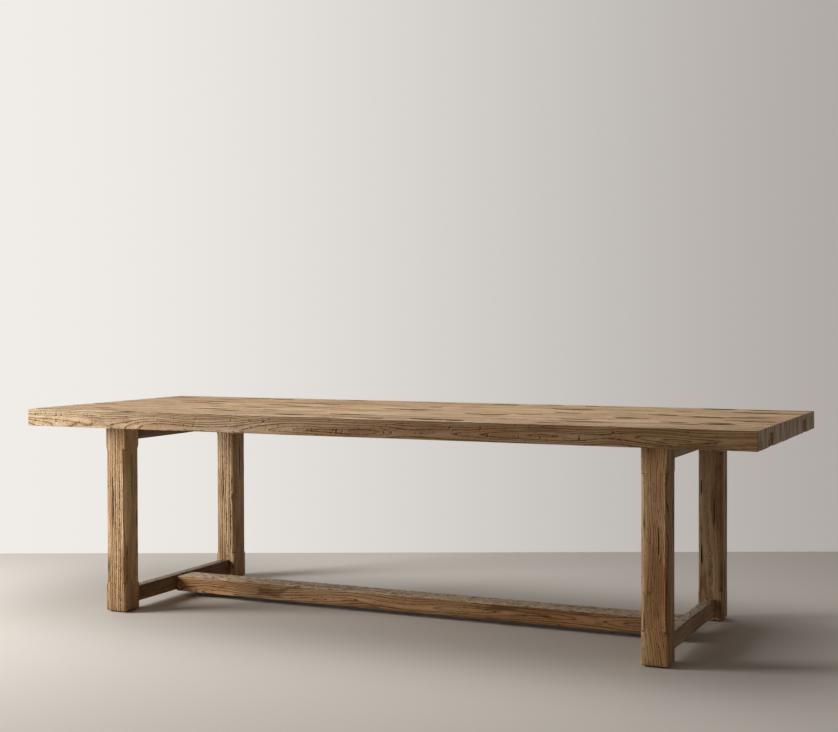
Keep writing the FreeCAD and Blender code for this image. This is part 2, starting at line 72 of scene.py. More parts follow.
# %% Camera
IMAGE_WIDE, IMAGE_TALL = 838, 732
FOCAL_PIXELS = 1407.2
CENTRE_ACROSS, CENTRE_DOWN = 416.9, 342.6
CAMERA_PLACE = Vector((2.2082, -4.7223, 1.0876))
CAMERA_YAW = math.radians(24.872)
CAMERA_PITCH = math.radians(-0.845)
CAMERA_ROLL = math.radians(-0.131)
SENSOR_WIDE = 36.0
SEE_FAR = 100


def make_camera():
    """Set up the camera from the measured place, turn and focal length."""
    data = bpy.data.cameras.new("camera")
    data.sensor_fit = "HORIZONTAL"
    data.sensor_width = SENSOR_WIDE
    data.lens = SENSOR_WIDE * FOCAL_PIXELS / IMAGE_WIDE
    data.shift_x = (IMAGE_WIDE / 2 - CENTRE_ACROSS) / IMAGE_WIDE
    data.shift_y = (CENTRE_DOWN - IMAGE_TALL / 2) / IMAGE_WIDE
    data.clip_end = SEE_FAR
    camera = bpy.data.objects.new("camera", data)
    turn = (Matrix.Rotation(CAMERA_YAW, 4, "Z")
            @ Matrix.Rotation(math.pi / 2 + CAMERA_PITCH, 4, "X")
            @ Matrix.Rotation(CAMERA_ROLL, 4, "Z"))
    camera.matrix_world = Matrix.Translation(CAMERA_PLACE) @ turn
    bpy.context.scene.collection.objects.link(camera)
    bpy.context.scene.camera = camera
    print("camera lens", round(data.lens, 2), "mm, shift", round(data.shift_y, 4))


make_camera()

# %% [markdown]
# ## Building materials in code
#
# A material in Blender is a tree of nodes. It could be drawn by hand in the node editor,
# but every piece of this table needs the same oak with other numbers, so the trees are
# built by small functions. Each takes numbers or sockets and gives back a socket.

# %% Helpers for node trees
def link_or_set(tree, socket, value):
    """Join a socket to another one, or set it to a plain value."""
    if isinstance(value, bpy.types.NodeSocket):
        tree.links.new(value, socket)
    else:
        socket.default_value = value


def add(tree, kind, inputs=None, **settings):
    """Add a shader node with its settings and inputs, and return it."""
    made = tree.nodes.new("ShaderNode" + kind)
    for name, value in settings.items():
        setattr(made, name, value)
    for name, value in (inputs or {}).items():
        link_or_set(tree, made.inputs[name], value)
    return made


def maths(tree, operation, first, second=0.0, clamp=False):
    """Work out a sum of sockets or numbers."""
    made = add(tree, "Math", {0: first, 1: second}, operation=operation, use_clamp=clamp)
    return made.outputs[0]


def times(tree, first, second):
    """Multiply sockets or numbers."""
    return maths(tree, "MULTIPLY", first, second)


def vectors(tree, operation, first, second=(0, 0, 0), output="Vector"):
    """Work out a sum of two vectors."""
    made = add(tree, "VectorMath", {0: first, 1: second}, operation=operation)
    return made.outputs[output]


def spread(tree, value, low, high, to_low=0.0, to_high=1.0):
    """Turn one range of a value smoothly into another."""
    made = add(tree, "MapRange", interpolation_type="SMOOTHSTEP",
               inputs={"Value": value, "From Min": low, "From Max": high,
                       "To Min": to_low, "To Max": to_high})
    return made.outputs["Result"]


def blend_colours(tree, share, first, second, how="MIX"):
    """Mix two colours by a share."""
    made = add(tree, "Mix", data_type="RGBA", blend_type=how)
    link_or_set(tree, made.inputs["Factor"], share)
    link_or_set(tree, made.inputs[6], first)
    link_or_set(tree, made.inputs[7], second)
    return made.outputs[2]


def from_screen(red, green, blue):
    """Turn a colour as a screen shows it, 0 to 255, into the light it stands for."""
    def light(value):
        share = value / 255
        if share <= 0.04045:
            return share / 12.92
        return ((share + 0.055) / 1.055) ** 2.4
    return light(red), light(green), light(blue), 1.0


def new_material(name):
    """Start a material with a plain shader, and return it with its tree and shader."""
    material = bpy.data.materials.new(name)
    material.use_nodes = True
    tree = material.node_tree
    return material, tree, tree.nodes["Principled BSDF"]


print("a mid grey on the screen stands for", round(from_screen(128, 128, 128)[0], 3))

# %% [markdown]
# ## The floor
#
# The table stands on a plain pale floor. Its far edge makes the level line behind the
# table. A larger floor with a wall would do the same, but a floor that ends square to
# the camera needs no wall, and the backdrop then fills the rest of the picture.

# %% Floor
FLOOR_COLOUR = from_screen(200, 194, 186)
FLOOR_ROUGH = 0.7
FLOOR_AHEAD = 6.62
FLOOR_BEHIND = 6.0
FLOOR_HALF = 9.0


def make_floor():
    """Lay the floor, whose far edge is level in the picture."""
    ahead = Vector((-math.sin(CAMERA_YAW), math.cos(CAMERA_YAW), 0))
    aside = Vector((ahead.y, -ahead.x, 0))
    foot = Vector((CAMERA_PLACE.x, CAMERA_PLACE.y, 0))
    corners = [foot + ahead * far + aside * side
               for far, side in ((-FLOOR_BEHIND, -FLOOR_HALF), (-FLOOR_BEHIND, FLOOR_HALF),
                                 (FLOOR_AHEAD, FLOOR_HALF), (FLOOR_AHEAD, -FLOOR_HALF))]
    mesh = bpy.data.meshes.new("floor")
    mesh.from_pydata(corners, [], [(0, 1, 2, 3)])
    floor = bpy.data.objects.new("floor", mesh)
    bpy.context.scene.collection.objects.link(floor)
    material, tree, shader = new_material("pale_floor")
    shader.inputs["Base Color"].default_value = FLOOR_COLOUR
    shader.inputs["Roughness"].default_value = FLOOR_ROUGH
    mesh.materials.append(material)
    print("floor laid, far edge", FLOOR_AHEAD, "m from the camera")


make_floor()

# %% [markdown]
# ## Light
#
# One large soft lamp stands low to the left of the table. It is why the front is bright
# at the left and falls off to the right, and why the faces that look to the right lie in
# shade. A second, weaker lamp above opens the top. A lit wall could give the same pale
# background, but it would throw light on the wood too. So the backdrop is shown only to
# the camera and in reflections, and the wood gets a weak, even light from the room.

# %% Lamps and the room
ROOM_LIGHT = 0.105
ROOM_COLOUR = (1, 0.90, 0.79, 1)
# The backdrop fades from pale at the left to darker at the right: painted light falloff, as
# on a wall lit from the left.
BACKDROP_LEFT = from_screen(240, 237, 233)
BACKDROP_RIGHT = from_screen(172, 166, 161)
BACKDROP_TURN = (-0.30, 0.38)
KEY_PLACE = Vector((-3.4, -1.95, 1.45))
KEY_AIM = Vector((-0.6, -0.2, 0.5))
KEY_SIZE = 1.3
KEY_POWER = 153
TOP_PLACE = Vector((-0.1, 0.1, 3.5))
TOP_AIM = Vector((0, 0, 0))
TOP_SIZE = 2.6
TOP_POWER = 73


def make_lamp(name, place, aim, size, power):
    """Hang a square soft lamp that looks at a point."""
    data = bpy.data.lights.new(name, "AREA")
    data.size = size
    data.energy = power
    lamp = bpy.data.objects.new(name, data)
    lamp.location = place
    lamp.rotation_mode = "QUATERNION"
    lamp.rotation_quaternion = (aim - place).to_track_quat("-Z", "Y")
    bpy.context.scene.collection.objects.link(lamp)


def make_room():
    """Give the room an even pale light and a pale backdrop for the camera."""
    world = bpy.data.worlds.new("room")
    bpy.context.scene.world = world
    world.use_nodes = True
    tree = world.node_tree
    tree.nodes.clear()
    path = add(tree, "LightPath")
    seen = maths(tree, "MAXIMUM", path.outputs["Is Camera Ray"],
                 maths(tree, "MAXIMUM", path.outputs["Is Glossy Ray"],
                       path.outputs["Is Transmission Ray"]))
    lit = add(tree, "Background", {"Color": ROOM_COLOUR, "Strength": ROOM_LIGHT})
    rightward = (math.cos(CAMERA_YAW), math.sin(CAMERA_YAW), 0)
    aside = vectors(tree, "DOT_PRODUCT", add(tree, "TexCoord").outputs["Generated"],
                    rightward, output="Value")
    wall = blend_colours(tree, spread(tree, aside, *BACKDROP_TURN), BACKDROP_LEFT,
                         BACKDROP_RIGHT)
    shown = add(tree, "Background", {"Color": wall, "Strength": 1.0})
    both = add(tree, "MixShader", {0: seen, 1: lit.outputs[0], 2: shown.outputs[0]})
    out = add(tree, "OutputWorld")
    tree.links.new(both.outputs[0], out.inputs["Surface"])
    bpy.context.scene.view_settings.view_transform = "Standard"


make_room()
make_lamp("key", KEY_PLACE, KEY_AIM, KEY_SIZE, KEY_POWER)
make_lamp("top", TOP_PLACE, TOP_AIM, TOP_SIZE, TOP_POWER)
print("room light", ROOM_LIGHT, "key", KEY_POWER, "W, top", TOP_POWER, "W")

# %% [markdown]
# ## Oak as a solid
#
# Every face of a plank shows a cut through the same rings. A picture wrapped round the
# plank would break at its edges, so the grain is worked out in space. Each piece gets a
# place in its tree: x runs along the grain, and the pith of the tree is a line beside the
# piece. Leaning that line makes the arches of the grain long. Slow bends of the whole
# space keep the grain from looking ruled.

# %% Place in the tree
ALONG_TURN = {"x": Matrix.Identity(3),
              "y": Matrix.Rotation(-math.pi / 2, 3, "Z"),
              "z": Matrix.Rotation(math.pi / 2, 3, "Y")}
BEND_SCALE = (1.9, 3.6, 3.6)
BEND_DETAIL = 1.0
GRAIN_WANDER = 0.030


def scaled_noise(tree, place, scale, detail=2.0, rough=0.5):
    """Give a noise stretched by three scales, one along the grain and two across it."""
    return add(tree, "TexNoise", {"Vector": vectors(tree, "MULTIPLY", place, scale),
                                  "Scale": 1.0, "Detail": detail, "Roughness": rough})


def wood_space(tree, along, middle, pith, lean):
    """Give the place in the tree, x along the grain, and the direction the face looks."""
    turn = Euler((0, lean[1], lean[0])).to_matrix() @ ALONG_TURN[along]
    shift = -(turn @ Vector(middle)) - Vector((0, pith[0], pith[1]))
    seen = add(tree, "TexCoord")
    place = add(tree, "Mapping", {"Vector": seen.outputs["Object"], "Location": shift,
                                  "Rotation": turn.to_euler()})
    looks = add(tree, "Mapping", {"Vector": seen.outputs["Normal"],
                                  "Rotation": turn.to_euler()}, vector_type="NORMAL")
    return place.outputs["Vector"], looks.outputs["Vector"]


def bend_grain(tree, place):
    """Shift a place sideways by a slow noise, so that the grain bends."""
    bends = scaled_noise(tree, place, BEND_SCALE, BEND_DETAIL).outputs["Color"]
    bends = vectors(tree, "SUBTRACT", bends, (0.5, 0.5, 0.5))
    bends = vectors(tree, "MULTIPLY", bends, (0, GRAIN_WANDER * 2, GRAIN_WANDER * 2))
    return vectors(tree, "ADD", place, bends)


print("grain wanders by up to", GRAIN_WANDER * 1000, "mm")

# %% [markdown]
# ### Rings
#
# The distance from the pith, cut into rings, gives straight grain where a face meets the
# rings steeply and arches where the face only grazes them. In oak the first wood of each
# ring holds the large pores, so it is darker and softer. Noises make the rings uneven in
# width, and scattered eyes push them aside as knots do.

# %% Rings
RING_WIDE = 0.0068
UNEVEN_SCALE = (7.0, 34.0, 34.0)
UNEVEN_DETAIL, UNEVEN_ROUGH = 3.0, 0.55
UNEVEN_SHIFT = 0.7
WIDTH_SCALE = 70.0
WIDTH_DETAIL = 1.0
WIDTH_SHIFT = 2.0
EYE_SCALE = (2.4, 9.0, 9.0)
EYE_REACH = 0.5
LINE_FADE = 0.55
LINE_START = 0.05
GRAZING = (0.7, 0.98)
END_FACING = (0.7, 0.9)
END_PORES = 0.25


def find_ring(tree, bent, ring_wide, knots):
    """Give the place within a ring, from 0 at its first wood to 1 at its last."""
    apart = add(tree, "SeparateXYZ", {0: bent})
    radius = maths(tree, "SQRT", maths(
        tree, "ADD", maths(tree, "POWER", apart.outputs["Y"], 2.0),
        maths(tree, "POWER", apart.outputs["Z"], 2.0)))
    uneven = scaled_noise(tree, bent, UNEVEN_SCALE, UNEVEN_DETAIL, UNEVEN_ROUGH)
    widths = add(tree, "TexNoise", {"W": times(tree, radius, WIDTH_SCALE), "Scale": 1.0,
                                    "Detail": WIDTH_DETAIL}, noise_dimensions="1D")
    eyes = add(tree, "TexVoronoi", {"Vector": vectors(tree, "MULTIPLY", bent, EYE_SCALE),
                                    "Scale": 1.0, "Randomness": 1.0})
    eye = spread(tree, eyes.outputs["Distance"], EYE_REACH, 0.0)
    phase = maths(tree, "DIVIDE", radius, ring_wide)
    for push, amount in ((uneven.outputs["Fac"], UNEVEN_SHIFT),
                         (widths.outputs["Fac"], WIDTH_SHIFT), (eye, knots)):
        phase = maths(tree, "ADD", phase, times(tree, push, amount))
    return maths(tree, "FRACT", phase)


def find_first_wood(tree, bent, looks, ring, end_on, line_wide, grazed):
    """Give the first wood, fainter where a face grazes the rings and on end grain."""
    early = times(tree, spread(tree, ring, line_wide, line_wide * LINE_FADE),
                  spread(tree, ring, 0.0, LINE_START))
    outward = vectors(tree, "MULTIPLY", bent, (0, 1, 1))
    outward = vectors(tree, "NORMALIZE", outward)
    square_on = maths(tree, "ABSOLUTE", vectors(tree, "DOT_PRODUCT", outward, looks,
                                                output="Value"))
    early = times(tree, early, spread(tree, square_on, *GRAZING, 1.0, grazed))
    return times(tree, early, spread(tree, end_on, 0.0, 1.0, 1.0, END_PORES))


def find_end_grain(tree, looks):
    """Give 1 where a face looks along the grain."""
    along = add(tree, "SeparateXYZ", {0: looks}).outputs["X"]
    return spread(tree, maths(tree, "ABSOLUTE", along), *END_FACING)


print("rings are", RING_WIDE * 1000, "mm wide unless a piece says otherwise")

# %% [markdown]
# ### Pores
#
# Cut along the grain, a pore is a thin dark dash. Four noises stretched along the grain
# stand for them: clumps of dashes that follow the first wood, single specks, a very fine
# set for close views, and long fibres. Drawing each dash as a shape of its own would take
# many thousands of pieces and look no better.

# %% Pores
Pattern = namedtuple("Pattern", "scale detail rough low high")

CLUMPS = Pattern((60.0, 210.0, 210.0), 2.0, 0.6, 0.42, 0.54)
SPECKS = Pattern((100.0, 230.0, 230.0), 1.0, 0.5, 0.69, 0.72)
FINE_PORES = Pattern((80.0, 1250.0, 1250.0), 1.0, 0.5, 0.44, 0.62)
FIBRES = Pattern((9.0, 190.0, 190.0), 2.0, 0.6, 0.53, 0.62)
CLUMP_SHARE = 0.6
ROW_SHARE = 0.35
SPECK_SHARE = 0.9
FIBRE_SHARE = 0.15
FINE_IN_ROWS = 0.5
FINE_ELSEWHERE = 0.12


def scatter(tree, place, pattern):
    """Give a stretched noise that rises from none at its low to full at its high."""
    made = scaled_noise(tree, place, pattern.scale, pattern.detail, pattern.rough)
    return spread(tree, made.outputs["Fac"], pattern.low, pattern.high)


def find_pores(tree, bent, early, lines):
    """Give the pores: dashes in the first wood, and specks and fibres elsewhere."""
    clumps = times(tree, scatter(tree, bent, CLUMPS), CLUMP_SHARE * lines)
    rows = times(tree, early, maths(tree, "ADD", clumps, ROW_SHARE * lines))
    fibres = times(tree, scatter(tree, bent, FIBRES), FIBRE_SHARE)
    specks = times(tree, scatter(tree, bent, SPECKS), SPECK_SHARE)
    pores = maths(tree, "MAXIMUM", maths(tree, "MAXIMUM", rows, fibres), specks)
    fine_share = maths(tree, "ADD", times(tree, early, FINE_IN_ROWS), FINE_ELSEWHERE)
    fine = times(tree, scatter(tree, bent, FINE_PORES), fine_share)
    return maths(tree, "MAXIMUM", pores, fine, clamp=True)


print("pores are drawn out", round(CLUMPS.scale[1] / CLUMPS.scale[0], 1), "to 1")

# %% [markdown]
# ### Colour
#
# The wood goes from pale to tan in soft patches, with a warm blush and dark streaks, and
# the last wood of each ring is browner. Some pieces get painted shade that darkens them
# towards one end, where the light falls off. The ends of the planks show bands of open,
# dark grain instead. One noise with many colours would be quicker, but a few named
# colours mixed by noises are easier to match and tune.

# %% Colour of the faces
PALE_OAK = from_screen(208, 181, 145)
TAN_OAK = from_screen(177, 145, 104)
RING_OAK = from_screen(126, 90, 52)
END_PALE = from_screen(214, 187, 154)
END_DARK = from_screen(106, 83, 60)
WARM_TINT = (1.0, 0.84, 0.68, 1)
# Tint of the painted shade that falls off along some pieces.
FALLOFF_SHADE_TINT = (0.575, 0.485, 0.385, 1)
PATCHES = Pattern((3.0, 19.0, 19.0), 4.0, 0.55, 0.36, 0.64)
BLUSH = Pattern((2.6, 17.0, 17.0), 2.0, 0.5, 0.4, 0.7)
STREAKS = Pattern((4.6, 22.0, 22.0), 5.0, 0.6, 0.56, 0.64)
END_BANDS = Pattern((3.0, 46.0, 7.0), 5.0, 0.65, 0.37, 0.65)
LATE_START = 0.45
LATE_SHARE = 0.30
END_SHARE = 0.85
# Level faces, lit by the lamp above, get less of that painted shade.
LEVEL_FACING = (0.4, 0.8)
LEVEL_FALLOFF_SHARE = 0.2


def colour_faces(tree, place, bent, ring, warmth, streaky):
    """Mix patches, the last wood of the rings, a warm blush and dark streaks."""
    colour = blend_colours(tree, scatter(tree, place, PATCHES), PALE_OAK, TAN_OAK)
    late = times(tree, spread(tree, ring, LATE_START, 1.0), LATE_SHARE)
    colour = blend_colours(tree, late, colour, RING_OAK)
    warm = blend_colours(tree, 1.0, colour, WARM_TINT, how="MULTIPLY")
    blush = times(tree, scatter(tree, place, BLUSH), warmth)
    colour = blend_colours(tree, blush, colour, warm)
    streak = times(tree, scatter(tree, bent, STREAKS), streaky)
    return blend_colours(tree, streak, colour, RING_OAK)


def paint_falloff_shade(tree, place, colour, start, end):
    """Paint shade on a colour from one place along the grain to another, least on level
    faces.
    """
    run = add(tree, "SeparateXYZ", {0: place}).outputs["X"]
    looks = add(tree, "TexCoord").outputs["Normal"]
    level = maths(tree, "ABSOLUTE", add(tree, "SeparateXYZ", {0: looks}).outputs["Z"])
    share = times(tree, spread(tree, run, start, end),
                  spread(tree, level, *LEVEL_FACING, 1.0, LEVEL_FALLOFF_SHARE))
    deep = blend_colours(tree, 1.0, colour, FALLOFF_SHADE_TINT, how="MULTIPLY")
    return blend_colours(tree, share, colour, deep)


def colour_ends(tree, place, end_on, colour):
    """Lay the bands of the end grain over the colour of the faces."""
    ends = blend_colours(tree, scatter(tree, place, END_BANDS), END_PALE, END_DARK)
    return blend_colours(tree, times(tree, end_on, END_SHARE), colour, ends)


print("oak goes from", [round(part, 2) for part in PALE_OAK[:3]], "to",
      [round(part, 2) for part in RING_OAK[:3]])

# %% [markdown]
# ### Weather, dirt and painted light
#
# The upper faces of the low beam and the end stretchers have gone grey and gritty, and
# their pale grey is also a painted highlight where the low light falls on them. Dark dirt
# sits in the worn dents of the arrises, splits and worm holes are darkened by dirt and
# painted shade, and inner corners get painted shade. The mesh knows best where these are,
# so its points carry two values, one for the grey and highlight and one for the dark, and
# the shader reads them. A noise along the grain breaks the dark into threads, so that its
# edge isn't soft.

# %% Weather, dirt and painted light
# Weathered grey, made pale enough to be a painted highlight of the lit upper faces too.
GREY_LIT_OAK = from_screen(224, 210, 188)
GRIT_OAK = from_screen(66, 52, 38)
GRIT = Pattern((40.0, 130.0, 130.0), 3.0, 0.7, 0.50, 0.58)
GRIT_SHARE = 0.9
GREY_PORES = 0.7
THREAD_SCALE = (14.0, 150.0, 150.0)
THREAD_DETAIL, THREAD_ROUGH = 3.0, 0.6
THREAD_SHARE = 1.9
DIRT_AND_SHADE_EDGE = (0.28, 0.6)
DIRT_AND_SHADE_SHARE = 0.92


def colour_weather_and_highlight(tree, bent, pores, colour):
    """Grey and speckle the colour where the mesh is weathered, pale as a painted highlight
    too.
    """
    weather_and_highlight = add(tree, "Attribute", attribute_name="weather_and_highlight").outputs["Fac"]
    grit = times(tree, scatter(tree, bent, GRIT), GRIT_SHARE)
    speckle = maths(tree, "MAXIMUM", times(tree, pores, GREY_PORES), grit)
    grey = blend_colours(tree, speckle, GREY_LIT_OAK, GRIT_OAK)
    return blend_colours(tree, weather_and_highlight, colour, grey)


def find_dirt_and_shade(tree, bent):
    """Give the dirt and painted shade that the mesh carries, broken into threads along the
    grain.
    """
    stain_and_shade = add(tree, "Attribute", attribute_name="stain_and_shade").outputs["Fac"]
    thread = scaled_noise(tree, bent, THREAD_SCALE, THREAD_DETAIL, THREAD_ROUGH)
    broken = times(tree, maths(tree, "SUBTRACT", thread.outputs["Fac"], 0.5),
                   times(tree, stain_and_shade, THREAD_SHARE))
    dirt_and_shade = spread(tree, maths(tree, "ADD", stain_and_shade, broken), *DIRT_AND_SHADE_EDGE)
    return times(tree, dirt_and_shade, DIRT_AND_SHADE_SHARE)


print("grit covers the noise above", GRIT.low)

# %% [markdown]
# ### The whole oak
#
# The parts above now come together in one material. A wire brush takes the soft first
# wood and opens the pores, so a bump lowers both, and the oil shines less there. The bump
# is only for this fine relief. All that has a visible depth is cut into the mesh later.

# %% Oak material
LINE_WIDE = 0.24
PORE_OAK = from_screen(44, 27, 14)
# Dark of the dirt, and of the painted shade in splits, worm holes and inner corners.
STAIN_AND_SHADE_OAK = from_screen(36, 24, 15)
PORE_SHARE = 0.88
RELIEF_DEPTH = 0.0012
RELIEF_STRENGTH = 0.9
SOFT_LOWER = -0.35
PORE_LOWER = -0.75
ROUGH_WOOD, ROUGH_PORES = 0.56, 0.9
SHEEN_WOOD, SHEEN_PORES = 0.36, 0.03
SHEEN_LOST = 0.7


def finish_surface(tree, shader, early, pores, dirt_and_shade):
    """Give the relief of brushed wood and its uneven sheen."""
    height = maths(tree, "ADD", times(tree, early, SOFT_LOWER),
                   times(tree, pores, PORE_LOWER))
    bump = add(tree, "Bump", {"Strength": RELIEF_STRENGTH, "Distance": RELIEF_DEPTH,
                              "Height": height})
    tree.links.new(bump.outputs["Normal"], shader.inputs["Normal"])
    rough = spread(tree, pores, 0.0, 1.0, ROUGH_WOOD, ROUGH_PORES)
    tree.links.new(rough, shader.inputs["Roughness"])
    dull = maths(tree, "MAXIMUM", pores, dirt_and_shade)
    sheen = spread(tree, dull, 0.0, SHEEN_LOST, SHEEN_WOOD, SHEEN_PORES)
    tree.links.new(sheen, shader.inputs["Specular IOR Level"])


def make_oak(name, along, middle, pith, lean, tone=(1.0, 1.0, 1.0), ring_wide=RING_WIDE,
             knots=0.0, warmth=0.5, streaky=0.5, lines=1.0, line_wide=LINE_WIDE, grazed=0.5,
             painted_falloff=None):
    """Make the oak of one piece of wood."""
    material, tree, shader = new_material(name)
    place, looks = wood_space(tree, along, middle, pith, lean)
    bent = bend_grain(tree, place)
    ring = find_ring(tree, bent, ring_wide, knots)
    end_on = find_end_grain(tree, looks)
    early = find_first_wood(tree, bent, looks, ring, end_on, line_wide, grazed)
    pores = find_pores(tree, bent, early, lines)
    dirt_and_shade = find_dirt_and_shade(tree, bent)
    colour = colour_faces(tree, place, bent, ring, warmth, streaky)
    # Painted shade that darkens the piece towards one end, where the light falls off.
    if painted_falloff:
        colour = paint_falloff_shade(tree, place, colour, *painted_falloff)
    colour = colour_ends(tree, place, end_on, colour)
    colour = blend_colours(tree, times(tree, pores, PORE_SHARE), colour, PORE_OAK)
    colour = colour_weather_and_highlight(tree, bent, pores, colour)
    colour = blend_colours(tree, dirt_and_shade, colour, STAIN_AND_SHADE_OAK)
    toned = blend_colours(tree, 1.0, colour, (*tone, 1), how="MULTIPLY")
    tree.links.new(toned, shader.inputs["Base Color"])
    finish_surface(tree, shader, early, pores, dirt_and_shade)
    return material


print("oak ready, relief", RELIEF_DEPTH * 1000, "mm")

# %% [markdown]
# ## Cutting a piece into a fine mesh
#
# The bare pieces have a few large faces and crisp arrises, which leaves nothing to wear.
# Each one is copied and its arrises are bevelled. Then planes cut it into a fine mesh. A
# subdivision would stretch the uneven faces round the slots and holes, and drawing the
# piece anew would lose them. Cutting keeps them all.

# %% Copy and cut
WELD = 0.00002
FLAT_ANGLE = math.radians(1)
ARRIS_ANGLE = math.radians(25)
SHORT_EDGE = 0.03
EDGE_CUTS = (0.003, 0.008)


def clean_copy(name):
    """Copy a piece's mesh with its flat faces whole."""
    form = bmesh.new()
    form.from_mesh(nodes[name].data)
    bmesh.ops.remove_doubles(form, verts=form.verts[:], dist=WELD)
    bmesh.ops.dissolve_limit(form, angle_limit=FLAT_ANGLE, verts=form.verts[:],
                             edges=form.edges[:])
    return form


def soften(form, size):
    """Bevel the long convex arrises."""
    sharp = [edge for edge in form.edges
             if edge.is_manifold and edge.is_convex and edge.calc_length() > SHORT_EDGE
             and edge.calc_face_angle() > ARRIS_ANGLE]
    bmesh.ops.bevel(form, geom=sharp, offset=size, segments=1, affect="EDGES",
                    clamp_overlap=True)


def cut_once(form, geometry, axis, place):
    """Cut some geometry with one plane square to an axis, and return its parts."""
    normal = Vector((0, 0, 0))
    normal[axis] = 1.0
    made = bmesh.ops.bisect_plane(form, geom=geometry, dist=WELD, plane_co=normal * place,
                                  plane_no=normal)
    return made["geom"]


def cut_faces(form, faces, axis, place):
    """Cut some faces with one plane, and return the faces that they leave."""
    parts = {edge for face in faces for edge in face.edges}
    parts |= {vert for face in faces for vert in face.verts}
    made = cut_once(form, faces + list(parts), axis, place)
    return [item for item in made if isinstance(item, bmesh.types.BMFace)]


def slice_at(form, axis, places):
    """Cut the whole form with planes square to an axis."""
    for place in places:
        cut_once(form, form.verts[:] + form.edges[:] + form.faces[:], axis, place)


def steps(low, high, pitch):
    """List evenly spaced cuts between two sides, with closer ones beside the sides."""
    outer, inner = EDGE_CUTS
    start, end = low + inner, high - inner
    count = max(1, round((end - start) / pitch))
    even = [start + (end - start) * i / count for i in range(count + 1)]
    return [low + outer] + even + [high - outer]


print("a leg 0.7 m tall gets", len(steps(0, 0.7, 0.012)), "cuts at a pitch of 12 mm")

# %% [markdown]
# ## Splits
#
# Old oak splits along its grain as it dries, most of all from the ends. A split here is
# a crack that wanders a little and runs out at its tips. One lip of it keeps its height
# and the other has worn down to a shallow hollow. Seen along the top, the standing lip
# shows as a dark dash, and seen from above the crack is only a fine line. A dark line
# painted on a flat face would vanish in a view along that face. The crack and the top of
# the standing lip are also painted dark, by dirt and painted shade.

# %% Splits
X, Y, Z = 0, 1, 2
SPLIT_HALF = 0.0012
LIP_EDGE = 0.0035
LIP_FADE = 1.2
MEANDER = 0.003
MEANDER_RATE = 28.0
TIP_SHAPE = 0.6
# How dark the crack and the top of the standing lip are painted, by dirt and painted shade.
CRACK_DIRT_AND_SHADE = 1.8
LIP_DIRT_AND_SHADE = SPLIT_HALF * 1.5
FACING = 0.9
ROUGHLY_FACING = 0.5
NEARBY = 0.02


class Split:
    """A crack in one side of a piece, with a worn hollow along its lower lip."""

    def __init__(self, face, side, along, start, end, across_axis, across, deep,
                 hollow=0.0006, reach=0.008):
        self.face = face
        self.side = side
        self.along = along
        self.start = start
        self.end = end
        self.across_axis = across_axis
        self.across = across
        self.deep = deep
        self.hollow = hollow
        self.reach = reach

    def runs_through(self, face, pitch):
        """Say whether a face is on the split's side and close to it."""
        corner = face.verts[0].co
        return (face.normal[self.face] * self.side > FACING
                and self.start - pitch < corner[self.along] < self.end + pitch
                and abs(corner[self.across_axis] - self.across) < self.reach + NEARBY)

    def cut(self, form, pitch):
        """Cut the rows of the split into the faces it runs through."""
        faces = [face for face in form.faces if self.runs_through(face, pitch)]
        for row in (-self.reach, -self.reach / 2, -LIP_EDGE, -SPLIT_HALF, 0.0, SPLIT_HALF,
                    LIP_EDGE):
            if faces:
                faces = cut_faces(form, faces, self.across_axis, self.across + row)

    def press(self, point, outward):
        """Return how far a point goes in and aside, and its dirt and painted shade."""
        offset = point[self.across_axis] - self.across
        place = point[self.along]
        lip = LIP_EDGE * LIP_FADE
        if (not -self.reach < offset < lip or not self.start < place < self.end
                or outward[self.face] * self.side < ROUGHLY_FACING):
            return 0.0, 0.0, 0.0
        share = (place - self.start) / (self.end - self.start)
        swell = math.sin(math.pi * share) ** TIP_SHAPE
        aside = 0.0
        if abs(offset) < lip:
            wander = noise.noise(Vector((place * MEANDER_RATE, self.across, 0)))
            aside = MEANDER * wander
        # The crack and the top of the standing lip are painted dark: dirt and painted shade.
        if abs(offset) < SPLIT_HALF / 2:
            return (self.hollow + self.deep) * swell, aside, min(1.0, swell * CRACK_DIRT_AND_SHADE)
        if offset < 0:
            return self.hollow * swell * (1 + offset / self.reach), aside, 0.0
        return 0.0, aside, swell if offset < LIP_DIRT_AND_SHADE else 0.0


print("a crack is", SPLIT_HALF * 2000, "mm wide and wanders by", MEANDER * 1000, "mm")

# %% [markdown]
# ## Worm holes
#
# Old oak has small round worm holes. Cutting each one with a boolean would be slow and
# leave thin slivers. Here one face of the fine mesh makes room for one hole: the face
# goes, and a ring of short walls with a floor takes its place. The floor is painted dark,
# by dirt and painted shade.

# %% Worm holes
HOLE_ROOM = 1.1
HOLE_TAPER = 0.25
HOLE_DEEP = 2
HOLE_SIDES = 8
FACES_TRIED = 12


